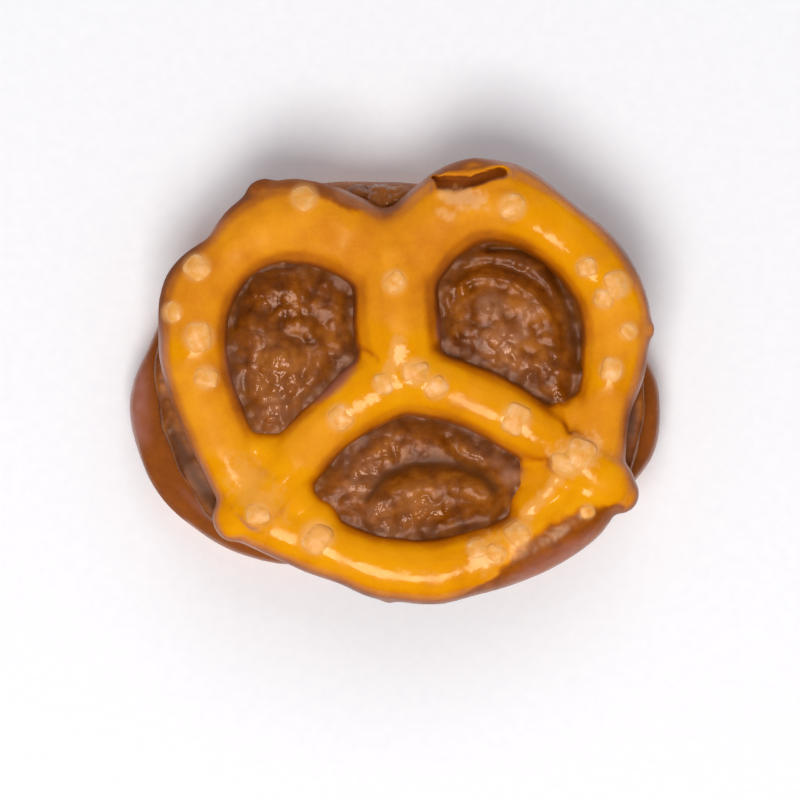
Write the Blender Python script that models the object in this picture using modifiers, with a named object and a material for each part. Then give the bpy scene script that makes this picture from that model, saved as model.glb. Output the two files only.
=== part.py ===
"""A pretzel sandwich: two baked mini pretzels, flat sides inwards, with a thick brown filling
pressed between them. The filling also stands in the pretzels' holes.

X runs to the right, Y away from the eater and Z up. The origin is on the table, under the middle.
Each pretzel is first modelled lying face up, with its flat underside below the strands' centre
plane. The lower one is then turned over, so that its salted side is underneath.
"""

import math
import random

import bmesh
import bpy
from mathutils import Matrix, Vector, noise

MM = 0.001

# Driving sizes of a pretzel, in millimetres
SECTION_RISE = 0.95  # height of a strand over its width, above the centre line
FLAT_DEPTH = 1.9  # from a strand's centre line to the flat baked side
STRAND_RADIUS = 2.7  # most strands have about this radius
TWIST_LIFT = 0.5  # how far the twist in the middle stands above the loops
END_LIFT = 0.8  # how far the ends stand up where they cross the rim
DOUGH_SWELL = 0.22  # how far the dough bulges and sinks
DOUGH_SWELL_SIZE = 4.0
TEAR_SINK = 0.15  # from the crust's surface to the middle of the slot

# Driving sizes of the sandwich, in millimetres
PRETZEL_HEIGHT = 5.0  # from the flat side to the pressed crests
FILLING_HEIGHT = 2.6  # between the two flat sides
FILLING_DROP = 1.3  # how far the filling in a hole lies below the crest of the strands
TOUCH_GAP = 0.42  # clearance kept between solids that touch
PASTE_SWELL = 0.35  # how far the filling bulges and sinks
PASTE_SWELL_SIZE = 3.2
LOWER_OVERLAP = 0.3  # how far the plate of filling reaches past the lower flat side before the cut
UPPER_OVERLAP = 0.4

# How fine the solids are
PATH_STEPS = 5  # tube rings between two points of a strand
VOXEL = 0.42  # millimetres, while shapes are blended
ROUNDING_VOXEL = 0.3  # millimetres, while the edges of the filling are rounded
UPPER_FACES = 3100
LOWER_FACES = 2400
FILLING_FACES = 2500

# Strands of dough seen from above: x, y, radius and lift of the centre line, in millimetres
UPPER_STRANDS = {
    "left_loop": [
        (-0.8, 9.4, 3.3, 0.2), (-4.4, 11.7, 3.4, 0), (-8.2, 12.6, 3.6, 0), (-11.2, 11.7, 3.1, 0),
        (-13.5, 9.7, 2.45, 0), (-15.7, 7.2, 3.0, 0), (-16.3, 4.2, 2.9, 0), (-15.8, 0.2, 2.8, 0),
        (-14.2, -4.0, 2.7, 0), (-12.4, -7.8, 2.6, 0), (-11.0, -10.4, 2.5, 0),
    ],
    "rim": [
        (-12.0, -10.6, 2.5, 0), (-8.4, -12.4, 2.4, 0), (-4.2, -13.9, 2.5, 0), (0.8, -15.3, 2.7, 0),
        (5.8, -14.6, 2.7, 0), (10.6, -12.9, 2.8, 0), (14.3, -10.5, 2.8, 0), (15.8, -6.6, 2.5, 0),
    ],
    "right_loop": [
        (15.8, -6.6, 2.5, 0), (16.4, -2.4, 2.4, 0), (17.4, 1.6, 2.7, 0), (17.4, 5.2, 2.9, 0),
        (15.9, 8.8, 2.9, 0), (12.9, 11.6, 2.7, 0), (9.6, 13.7, 3.2, 0.1), (6.4, 14.3, 3.5, 0.3),
        (3.0, 12.4, 3.4, 0.3), (0.6, 9.6, 3.4, 0.2),
    ],
    "twist": [
        (-0.2, 10.4, 3.9, 0.1), (-0.1, 6.6, 3.5, 0.4), (0.2, 2.8, 3.6, TWIST_LIFT),
        (0.6, 0.4, 3.2, TWIST_LIFT),
    ],
    "left_end": [
        (0.6, 0.4, 3.2, TWIST_LIFT), (-2.4, -1.2, 2.8, 0.4), (-5.0, -3.2, 2.6, 0.2),
        (-8.0, -6.2, 2.6, 0.2), (-10.6, -9.4, 2.5, 0.6), (-12.0, -11.4, 2.3, END_LIFT),
    ],
    "right_end": [
        (0.6, 0.4, 3.2, TWIST_LIFT), (5.0, -1.0, 2.7, 0.4), (9.4, -3.2, 2.7, 0.2),
        (13.2, -5.6, 2.6, 0.5), (16.0, -7.6, 2.5, END_LIFT), (17.4, -8.6, 2.1, 0.7),
    ],
}
LOWER_STRANDS = {
    "left_loop": [
        (-0.6, 8.4, 3.1, 0.2), (-4.6, 11.0, 3.0, 0), (-8.8, 11.9, 3.0, 0), (-13.5, 10.3, 3.0, 0),
        (-17.4, 6.8, 2.9, 0), (-18.6, 1.6, 2.9, 0), (-16.3, -4.2, 2.8, 0), (-14.4, -8.2, 2.7, 0),
        (-11.8, -10.8, 2.7, 0),
    ],
    "rim": [
        (-12.6, -10.8, 2.7, 0), (-8.6, -12.5, 2.6, 0.3), (-4.0, -13.5, 2.6, 0.5),
        (0.8, -13.4, 2.6, 0.5), (5.4, -12.8, 2.6, 0.4), (9.8, -11.4, 2.6, 0.2),
        (13.4, -8.4, 2.6, 0), (15.6, -4.8, 2.6, 0),
    ],
    "right_loop": [
        (15.6, -4.8, 2.6, 0), (17.1, -1.6, 2.7, 0), (18.5, 2.2, 2.9, 0), (17.1, 6.3, 2.9, 0),
        (13.9, 9.3, 2.8, 0), (10.0, 11.4, 2.9, 0), (6.0, 12.0, 3.0, 0.1), (2.2, 10.2, 3.0, 0.2),
        (0.2, 8.0, 3.1, 0.2),
    ],
    "twist": [
        (-0.2, 9.2, 3.5, 0.1), (-0.2, 5.4, 3.3, 0.4), (0, 1.8, 3.3, 0.3),
        (0.2, -0.6, 3.0, 0.3),
    ],
    "left_end": [
        (0.2, -0.6, 3.0, 0.3), (-4.4, -2.4, 2.6, 0.4), (-8.6, -5.2, 2.6, 0.2),
        (-12.2, -8.8, 2.5, 0.4), (-13.4, -10.6, 2.3, 0.6),
    ],
    "right_end": [
        (0.2, -0.6, 3.0, 0.3), (4.6, -2.2, 2.6, 0.4), (9.2, -4.4, 2.6, 0.2),
        (13.0, -7.0, 2.5, 0.5), (15.4, -9.4, 2.2, 0.6),
    ],
}

# Blisters, nubs and filled corners of the upper crust: x, y, height and radius, in millimetres
UPPER_BUMPS = [
    (6.2, 15.6, 1.0, 2.2), (19.6, 4.0, 0.2, 1.1), (-0.6, -17.0, -0.6, 1.0), (-10.6, 14.6, -0.2, 1.6),
    (17.9, -9.1, 0.2, 1.6), (16.8, -8.4, 0.5, 2.3), (12.4, -8.6, 0, 2.4), (10.9, -9.8, 0, 2.3),
    (11.2, -7.4, 0, 2.0), (13.6, -3.0, 0, 1.9), (-8.4, -9.6, 0, 2.2), (-6.6, -11.4, 0, 2.2),
    (-10.6, -6.2, 0, 2.3), (-12.8, -11.0, 0.2, 2.0), (-0.2, 10.3, 0.1, 3.6),
]
# The torn blister at the back: the tear's line, and half its width
TEAR_LINE = [(3.2, 15.9), (4.4, 15.7), (5.8, 15.8), (7.0, 16.2), (8.3, 16.6)]
TEAR_RADIUS = 0.36

# Salt crystals seen from above: x, y and half their length, in millimetres
UPPER_SALT = [
    (-16.0, 9.0, 0.9), (-18.0, 5.4, 0.7), (-15.7, 3.4, 1.0), (-15.2, 0.2, 0.9), (-7.4, 14.6, 0.9),
    (-0.2, 7.8, 0.8), (-1.1, -0.3, 0.7), (1.5, 0.6, 0.9), (3.1, -0.6, 0.8), (-4.5, -3.0, 0.9),
    (-6.4, -12.6, 1.1), (-11.1, -10.6, 0.8), (9.4, -3.0, 1.0), (13.0, -6.9, 0.9), (14.3, -5.9, 1.1),
    (9.6, -12.2, 0.9), (6.4, -13.4, 0.8), (7.9, -13.8, 0.8), (15.0, -10.6, 0.8), (15.1, 9.0, 0.7),
    (17.6, 7.6, 1.0), (16.5, 6.5, 0.7), (18.5, 3.9, 0.6), (17.1, 0.8, 0.8), (9.2, 13.8, 0.9),
]
LOWER_SALT = [
    (-17.6, 6.4, 0.9), (-18.2, 0.2, 1.0), (-12.0, 11.0, 0.9), (-4.6, 10.8, 0.8), (0.2, 4.6, 1.0),
    (-6.2, -3.7, 0.9), (-10.4, -11.8, 0.9), (1.6, -13.2, 1.0), (8.4, -12.1, 0.8),
    (6.6, -3.2, 0.9), (18.0, 3.8, 1.0), (13.6, 9.4, 0.8), (7.6, 11.6, 0.9), (16.2, -3.6, 0.8),
]

# Outline of the filling between the pretzels, in millimetres
FILLING_OUTLINE = [
    (-18.4, 5.0), (-19.3, 1.4), (-19.2, -2.2), (-18.0, -5.8), (-16.6, -8.8), (-15.0, -11.0),
    (-12.0, -12.6), (-8.0, -14.0), (-3.8, -15.2), (1.0, -16.4), (6.6, -15.6), (11.6, -13.6),
    (15.4, -11.4), (18.0, -8.8), (19.3, -5.4), (19.9, -1.6), (19.6, 2.6), (18.6, 6.8),
    (16.0, 11.0), (12.0, 13.6), (8.0, 15.2), (3.6, 15.4), (-0.6, 15.1), (-4.4, 14.9),
    (-8.8, 14.5), (-12.8, 12.6), (-16.2, 9.0),
]
# Folds and lumps in the filling: x, y, spread across and along, angle in degrees, and height
FILLING_FOLDS = [
    (-8.8, 2.6, 2.6, 2.8, 0, 0.35),
    (-9.6, -2.4, 1.2, 1.6, 20, 0.35),
    (7.4, 6.2, 1.5, 1.2, 0, 0.45),
    (10.6, 5.8, 1.4, 1.2, 0, 0.40),
    (9.0, 2.4, 2.0, 1.5, -20, 0.40),
    (8.4, 9.4, 3.4, 0.6, -20, -0.45),
    (1.6, -8.6, 4.6, 1.1, 12, 0.75),
    (2.4, -10.8, 3.6, 1.2, 8, 0.40),
    (1.0, -6.2, 4.2, 0.8, 14, -0.55),
]


def smooth_path(points, steps=PATH_STEPS, closed=False):
    """Points of a Catmull-Rom curve through the given ones, which may have any number of values."""
    count = len(points)
    if closed:
        knots = [points[-1], *points, points[0], points[1]]
    else:
        ends = [[2 * a - b for a, b in zip(points[i], points[j])] for i, j in ((0, 1), (-1, -2))]
        knots = [ends[0], *points, ends[1]]
    path = []
    for i in range(count if closed else count - 1):
        before, start, end, after = knots[i : i + 4]
        for step in range(steps):
            t = step / steps
            path.append([
                0.5 * (2 * b + (c - a) * t + (2 * a - 5 * b + 4 * c - d) * t**2
                       + (3 * b - 3 * c + d - a) * t**3)
                for a, b, c, d in zip(before, start, end, after)
            ])
    return path if closed else [*path, list(points[-1])]


def collection_named(name):
    collection = bpy.data.collections.new(name)
    bpy.context.scene.collection.children.link(collection)
    return collection


def add_object(name, mesh, collection):
    obj = bpy.data.objects.new(name, mesh)
    collection.objects.link(obj)
    return obj


def bake(obj):
    """Puts the result of the object's modifiers into its own mesh."""
    bpy.context.view_layer.update()
    graph = bpy.context.evaluated_depsgraph_get()
    mesh = bpy.data.meshes.new_from_object(obj.evaluated_get(graph))
    obj.modifiers.clear()
    old, obj.data = obj.data, mesh
    bpy.data.meshes.remove(old)


def mesh_from_curve(curve):
    """The curve's tube or plate as a mesh, with its caps welded on. The curve is removed."""
    obj = add_object("curve", curve, bpy.context.scene.collection)
    bpy.context.view_layer.update()
    graph = bpy.context.evaluated_depsgraph_get()
    mesh = bpy.data.meshes.new_from_object(obj.evaluated_get(graph))
    bpy.data.objects.remove(obj)
    bpy.data.curves.remove(curve)
    return mesh


def tube(path):
    """A round tube along x, y, radius and lift, in millimetres."""
    curve = bpy.data.curves.new("strand", "CURVE")
    curve.dimensions = "3D"
    curve.bevel_depth = 1.0
    curve.bevel_resolution = 4
    curve.use_fill_caps = True
    spline = curve.splines.new("POLY")
    spline.points.add(len(path) - 1)
    for point, (x, y, radius, lift) in zip(spline.points, path):
        point.co = (x * MM, y * MM, lift * MM, 1)
        point.radius = radius * MM
    return mesh_from_curve(curve)


def plate(outline, low, high):
    """A flat plate with this outline between two heights, in millimetres."""
    curve = bpy.data.curves.new("plate", "CURVE")
    curve.dimensions = "2D"
    curve.fill_mode = "BOTH"
    curve.extrude = (high - low) / 2 * MM
    spline = curve.splines.new("POLY")
    spline.points.add(len(outline) - 1)
    for point, (x, y) in zip(spline.points, outline):
        point.co = (x * MM, y * MM, 0, 1)
    spline.use_cyclic_u = True
    mesh = mesh_from_curve(curve)
    mesh.transform(Matrix.Translation((0, 0, (low + high) / 2 * MM)))
    return mesh


def blended(name, meshes, collection, smoothing, voxel=VOXEL):
    """One closed body out of overlapping shapes, with softened joins."""
    joined = bmesh.new()
    for mesh in meshes:
        joined.from_mesh(mesh)
        bpy.data.meshes.remove(mesh)
    bmesh.ops.remove_doubles(joined, verts=joined.verts, dist=0.00001)
    mesh = bpy.data.meshes.new(name)
    joined.to_mesh(mesh)
    joined.free()
    obj = add_object(name, mesh, collection)
    remesh = obj.modifiers.new("Remesh", "REMESH")
    remesh.mode = "VOXEL"
    remesh.voxel_size = voxel * MM
    if smoothing:
        smooth = obj.modifiers.new("Smooth", "SMOOTH")
        smooth.factor = 0.5
        smooth.iterations = smoothing
    bake(obj)
    return obj


def rounded(body):
    """Takes the knife-edges off, where a mould has cut the body."""
    remesh = body.modifiers.new("Remesh", "REMESH")
    remesh.mode = "VOXEL"
    remesh.voxel_size = ROUNDING_VOXEL * MM
    smooth = body.modifiers.new("Smooth", "SMOOTH")
    smooth.factor = 0.4
    smooth.iterations = 1
    bake(body)


def thin_out(obj, faces):
    """Fewer triangles, the most where the shape bends."""
    graph_faces = sum(len(p.vertices) - 2 for p in obj.data.polygons)
    decimate = obj.modifiers.new("Decimate", "DECIMATE")
    decimate.ratio = min(1.0, faces / graph_faces)
    decimate.use_collapse_triangulate = True
    bake(obj)


def outward(body):
    """The directions in which the vertices face, as they are before any is moved."""
    return [Vector(direction.vector) for direction in body.data.vertex_normals]


def pretzel_body(name, strands, bumps, seed, collection, grow=0.0):
    """A face-up pretzel about its own centre plane. With grow, it is that much larger all round."""
    meshes = []
    for points in strands.values():
        path = smooth_path(points)
        meshes.append(tube([(x, y, radius + grow, lift) for x, y, radius, lift in path]))
    for x, y, height, radius in bumps:
        ball = bmesh.new()
        bmesh.ops.create_uvsphere(ball, u_segments=16, v_segments=10, radius=(radius + grow) * MM)
        bmesh.ops.translate(ball, verts=ball.verts, vec=Vector((x, y, height)) * MM)
        mesh = bpy.data.meshes.new("bump")
        ball.to_mesh(mesh)
        ball.free()
        meshes.append(mesh)
    body = blended(name, meshes, collection, smoothing=7)
    shift = Vector((seed, 0, 0))
    for vertex, normal in zip(body.data.vertices, outward(body)):
        vertex.co += normal * noise.noise(vertex.co / (DOUGH_SWELL_SIZE * MM) + shift) * DOUGH_SWELL * MM
        vertex.co.z *= SECTION_RISE
        vertex.co.z = max(vertex.co.z, -(FLAT_DEPTH + grow) * MM)
    return body


def salt_crystal(normal, point, half, spin, name, collection):
    """A worn block of coarse salt, half sunk in the crust."""
    crystal = bmesh.new()
    bmesh.ops.create_cone(
        crystal, cap_ends=True, segments=4, radius1=half * 1.4 * MM, radius2=half * 1.1 * MM,
        depth=half * 0.95 * MM,
    )
    corners = [e for e in crystal.edges if e.verts[0].co.z * e.verts[1].co.z < 0]
    bmesh.ops.bevel(
        crystal, geom=corners, offset=half * 0.45 * MM, segments=1, affect="EDGES"
    )
    bmesh.ops.rotate(crystal, verts=crystal.verts, matrix=Matrix.Rotation(math.pi / 4, 3, "Z"))
    bmesh.ops.scale(crystal, verts=crystal.verts, vec=(1.05, 0.85, 1.0))
    mesh = bpy.data.meshes.new(name)
    crystal.to_mesh(mesh)
    crystal.free()
    tilt = Vector((0, 0, 1)).rotation_difference(normal).to_matrix().to_4x4()
    mesh.transform(Matrix.Translation(point) @ tilt @ Matrix.Rotation(spin, 4, "Z"))
    return add_object(name, mesh, collection)


def add_salt(body, grains, seed):
    """Presses the crystals into the crust and joins them to it by one union."""
    draw = random.Random(seed)
    crystals = collection_named(body.name + "_salt")
    for number, (x, y, half) in enumerate(grains):
        above = Vector((x, y, 20)) * MM
        hit, point, normal, _ = body.ray_cast(above, Vector((0, 0, -1)))
        if hit:
            spin = draw.uniform(0, math.pi)
            salt_crystal(normal, point, half, spin, f"salt_{number}", crystals)
    union = body.modifiers.new("Salt", "BOOLEAN")
    union.operation = "UNION"
    union.operand_type = "COLLECTION"
    union.collection = crystals
    union.solver = "MANIFOLD"
    bake(body)
    for crystal in list(crystals.objects):
        bpy.data.objects.remove(crystal)
    bpy.data.collections.remove(crystals)


def cut(body, cutter):
    """Takes the cutter out of the body and removes it."""
    difference = body.modifiers.new("Cut", "BOOLEAN")
    difference.operation = "DIFFERENCE"
    difference.object = cutter
    difference.solver = "MANIFOLD"
    bake(body)
    bpy.data.objects.remove(cutter)


def tear_crust(body, collection):
    """The slot along the top of the burst blister."""
    path = []
    for x, y in smooth_path(TEAR_LINE, steps=3):
        _, point, normal, _ = body.ray_cast(Vector((x, y, 20)) * MM, Vector((0, 0, -1)))
        centre = (point - normal * TEAR_SINK * MM) / MM
        path.append((centre.x, centre.y, TEAR_RADIUS, centre.z))
    cutter = add_object("tear", tube(path), collection)
    welded = bmesh.new()
    welded.from_mesh(cutter.data)
    bmesh.ops.remove_doubles(welded, verts=welded.verts, dist=0.000001)
    bmesh.ops.recalc_face_normals(welded, faces=welded.faces)
    welded.to_mesh(cutter.data)
    welded.free()
    cut(body, cutter)


def turn_over(body):
    """Lays the pretzel face down, by a half turn about the X axis."""
    body.data.transform(Matrix.Rotation(math.pi, 4, "X"))


def lift(body, height):
    body.data.transform(Matrix.Translation((0, 0, height * MM)))


def fold_height(x, y):
    """Height of the folds and lumps in the filling at a place, in millimetres."""
    height = 0.0
    for centre_x, centre_y, along, across, degrees, rise in FILLING_FOLDS:
        turn = math.radians(degrees)
        dx, dy = x - centre_x, y - centre_y
        u = (dx * math.cos(turn) + dy * math.sin(turn)) / along
        v = (dy * math.cos(turn) - dx * math.sin(turn)) / across
        height += rise * math.exp(-(u * u + v * v))
    return height


def ring_of(strands):
    """The closed centre line round the outside of a pretzel, as x and y."""
    ring = []
    for name in ("left_loop", "rim", "right_loop"):
        ring += [(x, y) for x, y, _, _ in smooth_path(strands[name], steps=2)[:-1]]
    return ring


def filling_body(collection, lower_flat, upper_flat, levels):
    """The filling before the pretzels press into it: a plate with a block on each side."""
    low, high = levels
    outline = smooth_path(FILLING_OUTLINE, steps=3, closed=True)
    lower_ring = [(x, -y) for x, y in ring_of(LOWER_STRANDS)]
    meshes = [
        plate(outline, lower_flat - LOWER_OVERLAP, upper_flat + UPPER_OVERLAP),
        plate(ring_of(UPPER_STRANDS), upper_flat, high),
        plate(lower_ring, low, lower_flat),
    ]
    body = blended("filling", meshes, collection, smoothing=5)
    middle = (lower_flat + upper_flat) / 2
    for vertex, normal in zip(body.data.vertices, outward(body)):
        x, y, z = vertex.co / MM
        share = min(1.0, abs(z - middle) / (high - middle))
        vertex.co += normal * noise.noise(vertex.co / (PASTE_SWELL_SIZE * MM)) * PASTE_SWELL * MM
        side = 1 if z > middle else -1
        vertex.co.z += side * share**4 * fold_height(x, side * y) * MM
    return body


def keep_largest(body):
    """Drops loose scraps that a cut leaves."""
    work = bmesh.new()
    work.from_mesh(body.data)
    left, islands = set(work.verts), []
    while left:
        island, edge = set(), [left.pop()]
        while edge:
            vertex = edge.pop()
            island.add(vertex)
            near = {e.other_vert(vertex) for e in vertex.link_edges} & left
            left -= near
            edge.extend(near)
        islands.append(island)
    islands.sort(key=len)
    for island in islands[:-1]:
        bmesh.ops.delete(work, geom=list(island), context="VERTS")
    work.to_mesh(body.data)
    work.free()


def material(name, colour, roughness):
    made = bpy.data.materials.new(name)
    made.use_nodes = True
    shader = made.node_tree.nodes["Principled BSDF"]
    shader.inputs["Base Color"].default_value = (*colour, 1)
    shader.inputs["Roughness"].default_value = roughness
    shader.inputs["Metallic"].default_value = 0.0
    return made


def finish(body, surface):
    body.data.materials.clear()
    body.data.materials.append(surface)
    body.data.shade_smooth()
    body.data.set_sharp_from_angle(angle=math.radians(50))


def press_flat(body, height):
    """The small flats on which the sandwich stands."""
    for vertex in body.data.vertices:
        vertex.co.z = max(vertex.co.z, height * MM)


def centre(bodies):
    """Puts the origin under the middle of the whole sandwich."""
    corners = [vertex.co for body in bodies for vertex in body.data.vertices]
    middle = [(min(c[i] for c in corners) + max(c[i] for c in corners)) / 2 for i in (0, 1)]
    for body in bodies:
        body.data.transform(Matrix.Translation((-middle[0], -middle[1], 0)))


def build():
    for obj in list(bpy.data.objects):
        bpy.data.objects.remove(obj)
    sandwich = collection_named("pretzel_sandwich")
    lower_flat = PRETZEL_HEIGHT
    upper_flat = lower_flat + FILLING_HEIGHT
    upper_centre = upper_flat + FLAT_DEPTH
    lower_centre = lower_flat - FLAT_DEPTH
    crest = STRAND_RADIUS * SECTION_RISE
    levels = (lower_centre - crest + FILLING_DROP, upper_centre + crest - FILLING_DROP)

    upper = pretzel_body("top_pretzel", UPPER_STRANDS, UPPER_BUMPS, 3.0, sandwich)
    lower = pretzel_body("bottom_pretzel", LOWER_STRANDS, [], 11.0, sandwich)
    upper_mould = pretzel_body("upper_mould", UPPER_STRANDS, UPPER_BUMPS, 3.0, sandwich, TOUCH_GAP)
    lower_mould = pretzel_body("lower_mould", LOWER_STRANDS, [], 11.0, sandwich, TOUCH_GAP)

    filling = filling_body(sandwich, lower_flat, upper_flat, levels)
    lift(upper_mould, upper_centre)
    turn_over(lower_mould)
    lift(lower_mould, lower_centre)
    cut(filling, upper_mould)
    cut(filling, lower_mould)
    keep_largest(filling)
    rounded(filling)
    thin_out(filling, FILLING_FACES)

    thin_out(upper, UPPER_FACES)
    tear_crust(upper, sandwich)
    add_salt(upper, UPPER_SALT, seed=5)
    lift(upper, upper_centre)

    thin_out(lower, LOWER_FACES)
    add_salt(lower, LOWER_SALT, seed=8)
    turn_over(lower)
    lift(lower, lower_centre)
    press_flat(lower, 0.0)

    centre((upper, lower, filling))
    crust = material("baked_crust", (0.78, 0.33, 0.02), 0.32)
    brown = material("brown_filling", (0.22, 0.06, 0.006), 0.35)
    finish(upper, crust)
    finish(lower, crust)
    finish(filling, brown)


build()
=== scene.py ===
"""A pretzel sandwich: two glazed mini pretzels, flat sides inwards, with a thick chocolate filling
pressed between them and standing in their holes. Places and sizes are in millimetres, with X to the
right, Y away from the eater and Z up from the table.
"""

import math
import random

import bpy
import numpy as np
from mathutils import Matrix, Vector, noise


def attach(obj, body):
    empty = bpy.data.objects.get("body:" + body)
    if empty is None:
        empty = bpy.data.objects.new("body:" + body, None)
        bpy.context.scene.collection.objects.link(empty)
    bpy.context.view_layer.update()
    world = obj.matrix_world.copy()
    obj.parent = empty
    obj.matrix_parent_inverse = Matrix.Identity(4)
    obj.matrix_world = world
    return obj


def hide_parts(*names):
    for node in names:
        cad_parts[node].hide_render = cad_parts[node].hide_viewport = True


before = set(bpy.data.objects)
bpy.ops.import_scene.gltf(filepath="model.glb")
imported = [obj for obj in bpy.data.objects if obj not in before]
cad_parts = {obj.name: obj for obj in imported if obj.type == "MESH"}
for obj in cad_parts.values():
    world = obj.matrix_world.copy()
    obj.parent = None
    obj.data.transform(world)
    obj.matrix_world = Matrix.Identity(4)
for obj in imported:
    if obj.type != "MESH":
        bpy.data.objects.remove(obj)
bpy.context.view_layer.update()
bpy.ops.object.select_all(action="DESELECT")

# Upper pretzel crust. One strand of wheat dough is looped and crossed, and its ends are pressed onto
# the rim. It is dipped, glazed and baked on a flat band, which leaves the underside flat.
MM = 0.001
FLAT_DEPTH = 1.9  # from the strands' centre plane to the flat side
EDGE_ROUNDING = 0.28  # how softly the flat side's edge turns
SECTION_RISE = 0.95  # height of a strand over its width
UPPER_PLACE = (0.17, 0.112, 9.5)  # from the pretzel's own middle to its place in the sandwich
CRUST_VOXEL = 0.2
CRUST_SOFTENING = 30
DOUGH_SWELL = 0.22  # how far the dough bulges and sinks
DOUGH_SWELL_SIZE = 4.0
UPPER_SEED = 3.0
UPPER_STRANDS = {
    "left_loop": [
        (-0.8, 9.4, 3.3, 0.2), (-4.4, 11.7, 3.4, 0), (-8.2, 12.6, 3.6, 0), (-11.2, 11.7, 3.1, 0),
        (-13.5, 9.7, 2.45, 0), (-15.7, 7.2, 3.0, 0), (-16.3, 4.2, 2.9, 0), (-15.8, 0.2, 2.8, 0),
        (-14.2, -4.0, 2.7, 0), (-12.4, -7.8, 2.6, 0), (-11.0, -10.4, 2.5, 0),
    ],
    "rim": [
        (-12.0, -10.6, 2.5, 0), (-8.4, -12.4, 2.4, 0), (-4.2, -13.9, 2.5, 0), (0.8, -15.3, 2.7, 0),
        (5.8, -14.6, 2.7, 0), (10.6, -12.9, 2.8, 0), (14.3, -10.5, 2.8, 0), (15.8, -6.6, 2.5, 0),
    ],
    "right_loop": [
        (15.8, -6.6, 2.5, 0), (16.4, -2.4, 2.4, 0), (17.4, 1.6, 2.7, 0), (17.4, 5.2, 2.9, 0),
        (15.9, 8.8, 2.9, 0), (12.9, 11.6, 2.7, 0), (9.6, 13.7, 3.2, 0.1), (6.4, 14.3, 3.5, 0.3),
        (3.0, 12.4, 3.4, 0.3), (0.6, 9.6, 3.4, 0.2),
    ],
    "twist": [
        (-0.2, 10.4, 3.9, 0.1), (-0.1, 6.6, 3.5, 0.4), (0.2, 2.8, 3.6, 0.5), (0.6, 0.4, 3.2, 0.5),
    ],
    "left_end": [
        (0.6, 0.4, 3.2, 0.5), (-2.4, -1.2, 2.8, 0.4), (-5.0, -3.2, 2.6, 0.2),
        (-8.0, -6.2, 2.6, 0.2), (-10.6, -9.4, 2.5, 0.6), (-12.0, -11.4, 2.3, 0.8),
    ],
    "right_end": [
        (0.6, 0.4, 3.2, 0.5), (5.0, -1.0, 2.7, 0.4), (9.4, -3.2, 2.7, 0.2),
        (13.2, -5.6, 2.6, 0.5), (16.0, -7.6, 2.5, 0.8), (17.4, -8.6, 2.1, 0.7),
    ],
}
# Blisters, nubs and filled corners: x, y, height and radius
UPPER_BUMPS = [
    (6.2, 15.6, 1.0, 2.2), (19.6, 4.0, 0.2, 1.1), (-0.6, -17.0, -0.6, 1.0), (-10.6, 14.6, -0.2, 1.6),
    (17.9, -9.1, 0.2, 1.6), (12.4, -8.6, 0, 2.4), (-8.4, -9.6, 0, 2.2), (-10.6, -6.2, 0, 2.3),
    (13.6, -3.0, 0, 1.9), (11.2, -7.4, 0, 2.0), (-12.8, -11.0, 0.2, 2.0), (-6.6, -11.4, 0, 2.2),
    (10.9, -9.8, 0, 2.3), (16.8, -8.4, 0.5, 2.3), (-0.2, 10.3, 0.1, 3.6),
]
# Creases where the dough meets itself, and ridges, which have a depth below zero: points, half
# width and depth
UPPER_CREASES = [
    ([(-11.3, -6.0), (-10.5, -7.0), (-9.8, -7.6)], 0.42, 0.24),
    ([(13.2, -0.9), (13.5, -2.4), (13.9, -3.9)], 0.42, 0.28),
    ([(-3.2, 2.4), (-2.4, 2.0), (-1.8, 1.6)], 0.35, 0.16),
    ([(3.4, 2.6), (4.1, 2.2), (4.7, 2.0)], 0.35, 0.14),
    ([(9.6, -6.9), (11.0, -6.9), (11.8, -6.6)], 0.5, 0.24),
    ([(-13.4, -12.2), (-10.0, -10.4)], 0.8, -0.25),
    ([(13.0, -7.6), (11.6, -9.4), (10.2, -10.6)], 0.75, -0.25),
]
# The burst blister: the tear's middle line, and half its width along it
TEAR = [(2.9, 16.2), (3.5, 15.8), (4.6, 15.7), (5.9, 15.8), (7.0, 16.2), (8.3, 16.6)]
TEAR_HALF_WIDTHS = [0.08, 0.52, 0.54, 0.42, 0.34, 0.42]
TEAR_DEPTH = 0.75
TEAR_LIP = 0.22
# Salt crystals: x, y and half their length
UPPER_SALT = [
    (-16.0, 9.0, 0.9), (-18.0, 5.4, 0.7), (-15.8, 3.4, 1.0), (-15.2, 0.2, 0.8), (-7.4, 14.6, 0.9),
    (-0.2, 7.8, 0.8), (-1.1, -0.3, 0.7), (1.5, 0.6, 0.9), (3.1, -0.6, 0.8), (-4.5, -3.0, 0.9),
    (-6.4, -12.6, 1.1), (-11.1, -10.6, 0.8), (9.5, -3.1, 1.0), (13.3, -6.7, 0.9), (14.6, -5.9, 1.1),
    (9.6, -12.2, 0.9), (6.4, -13.4, 0.7), (7.9, -13.9, 0.7), (15.2, -10.5, 0.5), (15.1, 9.0, 0.7),
    (17.6, 7.6, 0.9), (16.5, 6.5, 0.7), (18.5, 3.9, 0.6), (17.1, 0.8, 0.8), (9.2, 13.8, 0.9),
]
SALT_SWELL = 0.13  # how far the glaze climbs round a crystal
SALT_SWELL_REACH = 1.3  # how far round the crystal it does, over the crystal's half length
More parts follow.
